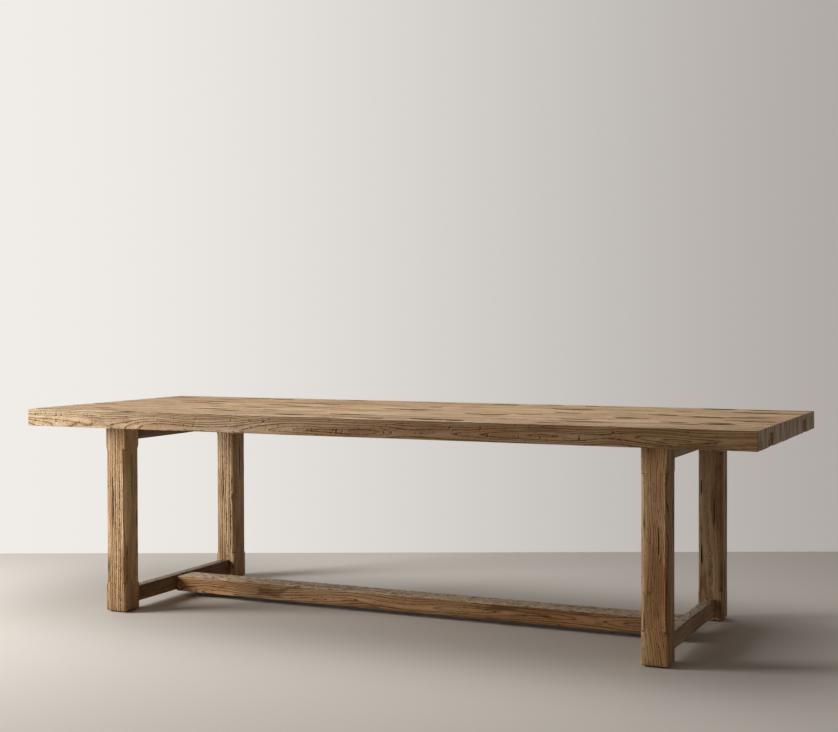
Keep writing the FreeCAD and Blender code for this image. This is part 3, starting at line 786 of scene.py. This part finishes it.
def punch(form, face, radius, stain_and_shade):
    """Sink one worm hole into a four-sided face, if it has the room."""
    corners = face.verts[:]
    middle = face.calc_center_median()
    room = min(((corner.co + following.co) / 2 - middle).length
               for corner, following in zip(corners, corners[1:] + corners[:1]))
    if room < radius * HOLE_ROOM:
        return 0
    normal = face.normal.copy()
    first = (corners[0].co - middle).normalized()
    second = normal.cross(first)
    upper, lower = [], []
    for level, ring in enumerate((upper, lower)):
        for turn in range(HOLE_SIDES):
            angle = 2 * math.pi / HOLE_SIDES * (turn - 0.5)
            reach = radius * (1 - HOLE_TAPER * level)
            spot = middle + (first * math.cos(angle) + second * math.sin(angle)) * reach
            vert = form.verts.new(spot - normal * radius * HOLE_DEEP * level)
            # The floor of the hole is painted dark: dirt and painted shade.
            vert[stain_and_shade] = float(level)
            ring.append(vert)
    form.faces.remove(face)
    for turn in range(4):
        corner, following = corners[turn], corners[(turn + 1) % 4]
        left, right = upper[2 * turn], upper[2 * turn + 1]
        form.faces.new((corner, right, left))
        form.faces.new((corner, following, upper[(2 * turn + 2) % HOLE_SIDES], right))
    for turn in range(HOLE_SIDES):
        after = (turn + 1) % HOLE_SIDES
        form.faces.new((upper[turn], upper[after], lower[after], lower[turn]))
    form.faces.new(lower)
    return 1


def punch_all(form, pits, stain_and_shade):
    """Sink each worm hole into the face nearest to its place, and count them."""
    faces = [face for face in form.faces if len(face.verts) == 4]
    tree = kdtree.KDTree(len(faces))
    for index, face in enumerate(faces):
        tree.insert(face.calc_center_median(), index)
    tree.balance()
    used = set()
    count = 0
    for place, outward, radius in pits:
        near = [index for _, index, _ in tree.find_n(place, FACES_TRIED)
                if index not in used and faces[index].normal.dot(outward) > FACING]
        if near:
            used.add(near[0])
            count += punch(form, faces[near[0]], radius, stain_and_shade)
    return count


print("a worm hole is", HOLE_DEEP, "times as deep as its radius")

# %% [markdown]
# ## Wear
#
# Years of use round the arrises unevenly and leave the faces slightly wavy. A displace
# modifier with a picture could do this, but it wouldn't know an arris from a face. So
# the code moves each point: inwards by a slow noise, further where it lies on an arris,
# and as the splits say. Nothing moves outwards, so the piece keeps its size.

# %% Wear
WORN_ANGLE = math.radians(15)
SLOW_ALONG, SLOW_ACROSS = 3.5, 26.0
QUICK_ALONG, QUICK_ACROSS = 22.0, 70.0
LUMP_HEIGHT = 0.62
ARRIS_SWING = 2.2
DIRTY_FROM = 0.65
ARRIS_DIRT = 1.1
# Painted shade along inner corners.
CORNER_SHADE = 0.55
GREY_LIT_FACING = 0.7


def lumps(point, scale, shift):
    """Give a smooth noise from 0 to 1 at a point, stretched by three scales."""
    spot = Vector((point.x * scale[0], point.y * scale[1], point.z * scale[2])) + shift
    return min(1.0, max(0.0, 0.5 + LUMP_HEIGHT * noise.noise(spot)))


def find_edges(form):
    """Return the points on the outer arrises and those in the inner corners."""
    arrises, corners = set(), set()
    for edge in form.edges:
        if edge.is_manifold and edge.calc_face_angle() > WORN_ANGLE:
            (arrises if edge.is_convex else corners).update(edge.verts)
    return arrises, corners


def wear(form, splits, shift, long_axis, ripple, arris_wear, grey_lit_faces):
    """Push the points in by ripples, worn arrises and splits, and note dirt and painted
    shade.
    """
    form.normal_update()
    stain_and_shade = form.verts.layers.float.get("stain_and_shade")
    weather_and_highlight = form.verts.layers.float.new("weather_and_highlight")
    slow = [SLOW_ACROSS] * 3
    slow[long_axis] = SLOW_ALONG
    quick = [QUICK_ACROSS] * 3
    quick[long_axis] = QUICK_ALONG
    arrises, corners = find_edges(form)
    moves = []
    for vert in form.verts:
        outward = vert.normal.copy()
        gentle = lumps(vert.co, slow, shift)
        push = ripple * gentle
        dirt_and_shade = vert[stain_and_shade]
        if vert in arrises:
            worn = gentle * lumps(vert.co, quick, -shift) * ARRIS_SWING
            push += arris_wear * worn
            dirt_and_shade = max(dirt_and_shade, ARRIS_DIRT * max(0.0, worn - DIRTY_FROM))
        # Inner corners get painted shade.
        if vert in corners:
            dirt_and_shade = max(dirt_and_shade, CORNER_SHADE)
        move = outward * -push
        for split in splits:
            deeper, aside, split_dirt_and_shade = split.press(vert.co, outward)
            move -= outward * deeper
            move[split.across_axis] += aside
            dirt_and_shade = max(dirt_and_shade, split_dirt_and_shade)
        vert[stain_and_shade] = dirt_and_shade
        vert[weather_and_highlight] = max([share for axis, side, share in grey_lit_faces
                             if outward[axis] * side > GREY_LIT_FACING], default=0.0)
        moves.append(move)
    for vert, move in zip(form.verts, moves):
        vert.co += move


print("arrises are edges that turn by more than", round(math.degrees(WORN_ANGLE)), "degrees")

# %% [markdown]
# ## From a bare piece to a dressed one
#
# The steps above always come in the same order, so one function does them for any piece.
# The finished mesh stands for the bare piece and moves with its body.

# %% Dress a piece
SHARP_ANGLE = math.radians(20)
SHIFT_RATES = (7.3, 11.9, 5.7)


def stand_for(name, form, material):
    """Turn a finished form into the piece that stands for a node."""
    mesh = bpy.data.meshes.new(name + "_worn")
    form.normal_update()
    form.to_mesh(mesh)
    form.free()
    for face in mesh.polygons:
        face.use_smooth = True
    mesh.set_sharp_from_angle(angle=SHARP_ANGLE)
    mesh.materials.append(material)
    piece = bpy.data.objects.new(name + "_worn", mesh)
    bpy.context.scene.collection.objects.link(piece)
    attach(piece, node_body[name])
    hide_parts(name)


def dress(name, long_axis, pitch, across_pitch, material, bevel=0.0007, ripple=0.0005,
          arris_wear=0.0010, splits=(), pits=(), grey_lit_faces=()):
    """Cut, wear, split and pit one piece of wood."""
    low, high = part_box(name)
    form = clean_copy(name)
    soften(form, bevel)
    stain_and_shade = form.verts.layers.float.new("stain_and_shade")
    slice_at(form, long_axis, steps(low[long_axis], high[long_axis], pitch))
    for axis in range(3):
        if axis != long_axis:
            slice_at(form, axis, steps(low[axis], high[axis], across_pitch))
    for split in splits:
        split.cut(form, pitch)
    shift = Vector([rate * place for rate, place in zip(SHIFT_RATES, low)])
    wear(form, splits, shift, long_axis, ripple, arris_wear, grey_lit_faces)
    holes = punch_all(form, pits, stain_and_shade) if pits else 0
    count = len(form.faces)
    stand_for(name, form, material)
    print(name, "has", count, "faces,", len(splits), "splits and", holes, "worm holes")


print("faces that meet at more than", round(math.degrees(SHARP_ANGLE)), "degrees stay sharp")

# %% [markdown]
# ## The top
#
# Six planks lie edge to edge. The two edge planks show their whole front and back, the
# two arm planks carry the slots, and the ends of all six show as end grain. Each plank
# comes from another tree, so each has its own pith. The front of the front plank lies
# close to its pith and shows wide arches.

# %% Grain of the planks
TOP_TONE = (0.945, 0.91, 0.85)

# The front plank gets painted shade that darkens it towards its right end.
top_boards = {
    "edge_board_front": dict(pith=(-0.06, -0.016), lean=(0.016, 0.011), knots=1.0,
                             ring_wide=0.0056, lines=2.1, grazed=0.38, warmth=0.4,
                             painted_falloff=(-1.3, 0.1)),
    "arm_board_front": dict(pith=(0.05, -0.11), lean=(0.01, 0.014), knots=1.2,
                            tone=TOP_TONE, streaky=0.8),
    "middle_board_front": dict(pith=(-0.03, 0.12), lean=(0.012, -0.01), knots=1.0,
                               tone=TOP_TONE, streaky=0.8),
    "middle_board_back": dict(pith=(0.02, -0.13), lean=(-0.01, 0.012), knots=0.8,
                              tone=TOP_TONE, streaky=0.8),
    "arm_board_back": dict(pith=(-0.05, 0.10), lean=(0.008, -0.014), knots=1.4,
                           tone=TOP_TONE, streaky=0.8),
    "edge_board_back": dict(pith=(0.08, -0.06), lean=(-0.02, 0.012), knots=1.2,
                            tone=TOP_TONE, streaky=0.8),
}

print(len(top_boards), "planks in the top")

# %% [markdown]
# ### Splits in the planks
#
# The large splits of the upper face stand where the picture has them, because they make
# the look of this table. Smaller ones, one long split from each end and a check in each
# end face are scattered by chance, which is quicker than placing them one by one.

# %% Splits in the planks
# Splits that the picture shows in the upper face: x, y and length, in metres
shown_splits = {
    "edge_board_front": [(-0.946, -0.480, 0.10), (0.30, -0.43, 0.16), (-0.30, -0.39, 0.12)],
    "arm_board_front": [(1.195, -0.276, 0.11), (1.051, -0.245, 0.09), (0.774, -0.330, 0.12),
                        (-0.088, -0.310, 0.17), (-0.75, -0.22, 0.15)],
    "middle_board_front": [(1.300, -0.120, 0.10), (0.877, -0.125, 0.11),
                           (0.341, -0.110, 0.15), (-1.31, -0.120, 0.12)],
    "middle_board_back": [(1.096, 0.030, 0.11), (1.221, 0.060, 0.12), (0.927, 0.085, 0.10),
                          (-0.016, 0.031, 0.22), (-0.62, 0.10, 0.14)],
    "arm_board_back": [(1.198, 0.325, 0.15), (0.531, 0.267, 0.16), (-0.578, 0.232, 0.17),
                       (-1.0, 0.20, 0.12)],
    "edge_board_back": [(1.035, 0.480, 0.12), (-1.270, 0.400, 0.14), (0.2, 0.44, 0.12)],
}
SHOWN_HALF = 0.62
SHOWN_DEEP = 0.003
SHOWN_HOLLOW = (0.0022, 0.0032)
SHOWN_REACH = (0.034, 0.044)
SHALLOW_LEFT_OF = -0.5
SHALLOW_SHARE = 0.6
SMALL_COUNT = 7
SMALL_OUT = 1.3
SMALL_HALF = (0.03, 0.07)
SMALL_DEEP = 0.0025
SMALL_HOLLOW = (0.001, 0.002)
SMALL_REACH = (0.016, 0.026)
SEAM_ROOM = 0.03
END_SPLIT_LONG = (0.12, 0.34)
END_SPLIT_DEEP = 0.0045
CHECK_BELOW, CHECK_ABOVE = 0.01, 0.03
CHECK_LONG = (0.03, 0.06)
CHECK_ROOM = 0.02
CHECK_DEEP = (0.002, 0.004)


def split_upper_face(name, low, high, chance):
    """List the splits of a plank's upper face: shown ones, small ones, and from its ends."""
    splits = []
    for x, y, long in shown_splits[name]:
        half = long * SHOWN_HALF
        share = 1.0 if x > SHALLOW_LEFT_OF else SHALLOW_SHARE
        hollow = chance.uniform(*SHOWN_HOLLOW) * share
        splits.append(Split(Z, 1, X, x - half, x + half, Y, y, SHOWN_DEEP, hollow,
                            chance.uniform(*SHOWN_REACH)))
    for _ in range(SMALL_COUNT):
        x = chance.uniform(-SMALL_OUT, SMALL_OUT)
        half = chance.uniform(*SMALL_HALF)
        y = chance.uniform(low.y + SEAM_ROOM, high.y - SEAM_ROOM)
        hollow = chance.uniform(*SMALL_HOLLOW)
        splits.append(Split(Z, 1, X, x - half, x + half, Y, y, SMALL_DEEP, hollow,
                            chance.uniform(*SMALL_REACH)))
    for side in (-1, 1):
        y = chance.uniform(low.y + SEAM_ROOM, high.y - SEAM_ROOM)
        long = chance.uniform(*END_SPLIT_LONG)
        tip = side * high.x
        splits.append(Split(Z, 1, X, tip - long, tip + long, Y, y, END_SPLIT_DEEP))
    return splits


def check_ends(low, high, chance):
    """List one short upright check in each end face of a plank."""
    checks = []
    for side in (-1, 1):
        foot = chance.uniform(low.z - CHECK_BELOW, low.z + CHECK_ABOVE)
        head = foot + chance.uniform(*CHECK_LONG)
        y = chance.uniform(low.y + CHECK_ROOM, high.y - CHECK_ROOM)
        checks.append(Split(X, side, Z, foot, head, Y, y, chance.uniform(*CHECK_DEEP)))
    return checks


print(sum(len(splits) for splits in shown_splits.values()), "splits are in the picture")

# %% [markdown]
# ### Worm holes in the planks
#
# The front shows the worm holes best, most of them near its left end. The clear ones are
# placed from the picture and the rest are scattered, thicker to the left.

# %% Worm holes in the planks
FRONTWARD = Vector((0, -1, 0))
UPWARD = Vector((0, 0, 1))
# Worm holes that the picture shows in the front: x and z, in metres
shown_holes = [(-1.333, 0.735), (-1.328, 0.724), (-1.347, 0.708), (-1.233, 0.725),
               (-1.236, 0.731), (-1.110, 0.750), (-0.337, 0.744), (-0.053, 0.716),
               (0.131, 0.713), (0.369, 0.742), (0.505, 0.718), (0.92, 0.735)]
SHOWN_RADIUS = 0.0032
FRONT_COUNT = 40
FRONT_RADIUS = (0.0012, 0.0026)
LEFTWARD_BIAS = 1.6
UPPER_COUNT = 12
UPPER_RADIUS = (0.0015, 0.0026)


def pit_front(low, high, chance):
    """List the worm holes in the front: place, the way they face, and radius."""
    pits = [(Vector((x, low.y, z)), FRONTWARD, SHOWN_RADIUS) for x, z in shown_holes]
    for _ in range(FRONT_COUNT):
        x = low.x + (high.x - low.x) * chance.random() ** LEFTWARD_BIAS
        spot = Vector((x, low.y, chance.uniform(low.z, high.z)))
        pits.append((spot, FRONTWARD, chance.uniform(*FRONT_RADIUS)))
    return pits


def pit_upper_face(low, high, chance):
    """List the worm holes in an upper face: place, the way they face, and radius."""
    pits = []
    for _ in range(UPPER_COUNT):
        spot = Vector((chance.uniform(low.x, high.x), chance.uniform(low.y, high.y), high.z))
        pits.append((spot, UPWARD, chance.uniform(*UPPER_RADIUS)))
    return pits


print(len(shown_holes), "worm holes are in the picture")

# %% [markdown]
# ### Dressing the planks
#
# Each plank now gets its grain, splits and worm holes. Chance could start anew with each
# run, but then no two runs would give the same table. So it starts from a fixed seed. The
# top is handled the most, so its arrises are worn twice as deep as those of the legs.

# %% Dress the planks
SEED = 7
BOARD_PITCH, BOARD_ACROSS = 0.012, 0.020
BOARD_RIPPLE = 0.0008
BOARD_ARRIS_WEAR = 0.0020

for name, grain in top_boards.items():
    low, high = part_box(name)
    chance = random.Random(SEED + len(name))
    splits = split_upper_face(name, low, high, chance) + check_ends(low, high, chance)
    pits = pit_front(low, high, chance) if name == "edge_board_front" else []
    pits += pit_upper_face(low, high, chance)
    oak = make_oak("oak_" + name, "x", (low + high) / 2, **grain)
    dress(name, X, BOARD_PITCH, BOARD_ACROSS, oak, splits=splits, pits=pits,
          ripple=BOARD_RIPPLE, arris_wear=BOARD_ARRIS_WEAR)

# %% [markdown]
# ## Legs
#
# The grain of a leg runs upright. The two left legs show close, straight rings to the
# light, and the two right ones are browner and calmer; the back right leg is also toned
# darker as painted shade. Each side of a leg has one split, and worm holes are scattered
# over all four. The front left leg gets painted shade that darkens it towards its foot. A
# tone and a few numbers for each leg do this, so no leg needs its own material tree drawn
# by hand.

# %% Legs
LEG_PITCH, LEG_ACROSS = 0.012, 0.015
LEG_BEVEL = 0.0005
LEG_SPLIT_FOOT = (0.1, 0.45)
LEG_SPLIT_LONG = (0.1, 0.22)
LEG_SPLIT_ASIDE = 0.018
LEG_SPLIT_DEEP = 0.003
LEG_HOLES = 24
LEG_HOLE_ROOM = 0.02
LEG_RADIUS = (0.0012, 0.0024)

# Tones: the right legs are browner wood, and the back right leg is toned darker still as
# painted shade. The front left leg's painted falloff darkens it towards its foot.
leg_grain = {
    "leg_front_left": dict(pith=(0.01, 0.134), lean=(0.004, 0.006), ring_wide=0.0075,
                           line_wide=0.40, tone=(1.0, 0.91, 0.81), lines=2.0,
                           grazed=0.1, warmth=0.3, painted_falloff=(-0.05, -0.65)),
    "leg_back_left": dict(pith=(0.03, 0.12), lean=(0.006, 0.004), ring_wide=0.0075,
                          line_wide=0.40, tone=(0.88, 0.81, 0.72), lines=2.0,
                          grazed=0.1, warmth=0.3),
    "leg_front_right": dict(pith=(-0.05, 0.03), lean=(0.02, 0.02), knots=1.6,
                            tone=(0.82, 0.71, 0.58), warmth=0.9, lines=1.0),
    "leg_back_right": dict(pith=(0.06, 0.05), lean=(-0.012, 0.008), knots=1.0,
                           tone=(0.71, 0.62, 0.52), lines=0.9),
}


def split_leg(low, high, chance):
    """List one upright split in each side of a leg."""
    splits = []
    for face, side, across in ((Y, -1, X), (X, 1, Y), (X, -1, Y), (Y, 1, X)):
        foot = chance.uniform(*LEG_SPLIT_FOOT)
        aside = chance.uniform(-LEG_SPLIT_ASIDE, LEG_SPLIT_ASIDE)
        middle = (low[across] + high[across]) / 2 + aside
        head = foot + chance.uniform(*LEG_SPLIT_LONG)
        splits.append(Split(face, side, Z, foot, head, across, middle, LEG_SPLIT_DEEP))
    return splits


def pit_leg(low, high, chance):
    """Scatter worm holes over the four sides of a leg."""
    pits = []
    for _ in range(LEG_HOLES):
        face, side = chance.choice(((Y, -1), (Y, 1), (X, 1), (X, -1)))
        spot = Vector([chance.uniform(start + LEG_HOLE_ROOM, end - LEG_HOLE_ROOM)
                       for start, end in zip(low, high)])
        spot[face] = high[face] if side > 0 else low[face]
        outward = Vector((0, 0, 0))
        outward[face] = side
        pits.append((spot, outward, chance.uniform(*LEG_RADIUS)))
    return pits


for name, grain in leg_grain.items():
    low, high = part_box(name)
    chance = random.Random(SEED + round(low.x * 100))
    oak = make_oak("oak_" + name, "z", (low + high) / 2, **grain)
    dress(name, Z, LEG_PITCH, LEG_ACROSS, oak, bevel=LEG_BEVEL,
          splits=split_leg(low, high, chance), pits=pit_leg(low, high, chance))

# %% [markdown]
# ## Rails and stretchers
#
# Each end frame has an upper rail under the top and a low stretcher between its feet,
# both with the grain across the table. The left ones are toned darker as painted shade,
# since their faces that look to the right lie in shade. Dust settles on what is low, so
# the upper faces of the stretchers have gone grey, and pale as a painted highlight too. A
# second material could show the dust, but then its edge would be too crisp. The grey and
# highlight value on the points of the mesh blends it over the arrises.

# %% Rails and stretchers
CROSS_PITCH, CROSS_ACROSS = 0.012, 0.011
# Upper faces that go weathered grey, pale as a painted highlight too.
GREY_LIT_TOP = [(Z, 1, 1.0)]

# The left rail and stretcher are toned darker as painted shade.
cross_tone_and_shade = {"left": (0.46, 0.40, 0.35), "right": (0.72, 0.67, 0.60)}

for end, tone in cross_tone_and_shade.items():
    for name in ("upper_rail_" + end, "end_stretcher_" + end):
        low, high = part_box(name)
        oak = make_oak("oak_" + name, "y", (low + high) / 2, pith=(0.06, -0.04),
                       lean=(0.01, 0.01), tone=tone, lines=0.9)
        grey_lit = GREY_LIT_TOP if name.startswith("end") else []
        dress(name, Y, CROSS_PITCH, CROSS_ACROSS, oak, grey_lit_faces=grey_lit)

# %% [markdown]
# ## The foot beam
#
# The beam lies flat between the stretchers. Its front shows arches like those in the
# front of the top, so its pith lies close to that face. Its upper face is grey, and pale
# as a painted highlight too.

# %% Foot beam
low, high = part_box("foot_beam")
# The front of the beam gets painted shade that darkens it towards its right end.
beam_oak = make_oak("oak_foot_beam", "x", (low + high) / 2, pith=(-0.06, -0.01),
                    lean=(0.022, 0.014), knots=1.2, tone=(0.96, 0.84, 0.70),
                    ring_wide=0.0056, lines=2.2, line_wide=0.30, streaky=0.8, grazed=0.4,
                    painted_falloff=(-1.1, 0.3))
# Splits of the beam: face and side, start and end along x, place across, and depth
beam_splits = [Split(Y, -1, X, 0.42, 0.60, Z, 0.047, 0.003),
               Split(Z, 1, X, -0.5, -0.1, Y, -0.012, 0.004),
               Split(Z, 1, X, 0.5, 0.8, Y, 0.02, 0.003)]
dress("foot_beam", X, CROSS_PITCH, CROSS_ACROSS, beam_oak, splits=beam_splits,
      grey_lit_faces=GREY_LIT_TOP)

# %% [markdown]
# ## The pull-out arms
#
# The arms live in the slots of the top, so they are much less worn than the planks: they
# only need their grain and soft arrises. Their oak is toned darker than the planks as
# painted shade of the slots. They get the same treatment as the other pieces with smaller
# numbers, and ride on their own bodies when they slide.

# %% Arms
# Darker tone of the arms, painted shade of the slots.
ARM_SHADE_TONE = (0.54, 0.39, 0.28)
ARM_PITCH, ARM_ACROSS = 0.02, 0.012
ARM_BEVEL = 0.0008
ARM_RIPPLE = 0.0002
ARM_ARRIS_WEAR = 0.0004

for row in ("front", "back"):
    for end in ("left", "right"):
        name = f"arm_{row}_{end}"
        low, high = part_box(name)
        oak = make_oak("oak_" + name, "x", (low + high) / 2, pith=(0.05, 0.03),
                       lean=(0.01, 0.01), tone=ARM_SHADE_TONE)
        dress(name, X, ARM_PITCH, ARM_ACROSS, oak, bevel=ARM_BEVEL, ripple=ARM_RIPPLE,
              arris_wear=ARM_ARRIS_WEAR)

# %% [markdown]
# ## Hidden pieces, metal and rubber
#
# The tongues, guides, stops and pegs are plain oak without wear, because hardly anything
# shows of them, and their oak is toned dark as painted shade of the gaps they sit in.
# Bolts and washers have a dull zinc plate, the inserts are brass, and the pads under the
# feet are dusty black rubber. These pieces keep their bare meshes. The metals and the
# rubber are each a noise between two close shades, since one flat colour would look like
# plastic.

# %% Finishes of the hidden pieces
INNER_MIDDLE = (0, 0, 0.72)
# Dark tone of the hidden oak, painted shade of the gaps.
INNER_SHADE_TONE = (0.62, 0.56, 0.50)
ZINC, ZINC_ROUGH = from_screen(176, 178, 180), 0.34
BRASS, BRASS_ROUGH = from_screen(186, 150, 84), 0.32
METAL_SHADE = 0.7
METAL_GRAIN, METAL_DETAIL = 320.0, 4.0
METAL_BLOTCH = (0.3, 0.7)
METAL_SPREAD = 0.2
BLACK_RUBBER = from_screen(34, 32, 31)
DUSTY_RUBBER = from_screen(74, 70, 66)
RUBBER_ROUGH = 0.8
DUST_GRAIN, DUST_DETAIL = 240.0, 5.0
DUST_EDGE = (0.45, 0.8)


def make_metal(name, colour, roughness):
    """Make a dull plated metal with faint blotches."""
    material, tree, shader = new_material(name)
    place = add(tree, "TexCoord").outputs["Object"]
    blotch = add(tree, "TexNoise", {"Vector": place, "Scale": METAL_GRAIN,
                                    "Detail": METAL_DETAIL}).outputs["Fac"]
    darker = tuple(METAL_SHADE * part for part in colour[:3]) + (1.0,)
    mixed = blend_colours(tree, blotch, colour, darker)
    tree.links.new(mixed, shader.inputs["Base Color"])
    rough = spread(tree, blotch, *METAL_BLOTCH, roughness, roughness + METAL_SPREAD)
    tree.links.new(rough, shader.inputs["Roughness"])
    shader.inputs["Metallic"].default_value = 1.0
    return material


def make_rubber():
    """Make the dusty black rubber of the foot pads."""
    material, tree, shader = new_material("foot_rubber")
    place = add(tree, "TexCoord").outputs["Object"]
    dust = add(tree, "TexNoise", {"Vector": place, "Scale": DUST_GRAIN,
                                  "Detail": DUST_DETAIL}).outputs["Fac"]
    mixed = blend_colours(tree, spread(tree, dust, *DUST_EDGE), BLACK_RUBBER, DUSTY_RUBBER)
    tree.links.new(mixed, shader.inputs["Base Color"])
    shader.inputs["Roughness"].default_value = RUBBER_ROUGH
    return material


finishes = {"oak_inner": make_oak("oak_inner", "x", INNER_MIDDLE, pith=(0.04, 0.1),
                                  lean=(0.01, 0.01), tone=INNER_SHADE_TONE),
            "zinc_steel": make_metal("zinc_plate", ZINC, ZINC_ROUGH),
            "brass_insert": make_metal("brass", BRASS, BRASS_ROUGH),
            "rubber_pad": make_rubber()}
for name, slot in node_slot.items():
    if slot in finishes:
        nodes[name].data.materials.clear()
        nodes[name].data.materials.append(finishes[slot])
for slot in finishes:
    print(slot, "covers", list(node_slot.values()).count(slot), "pieces")
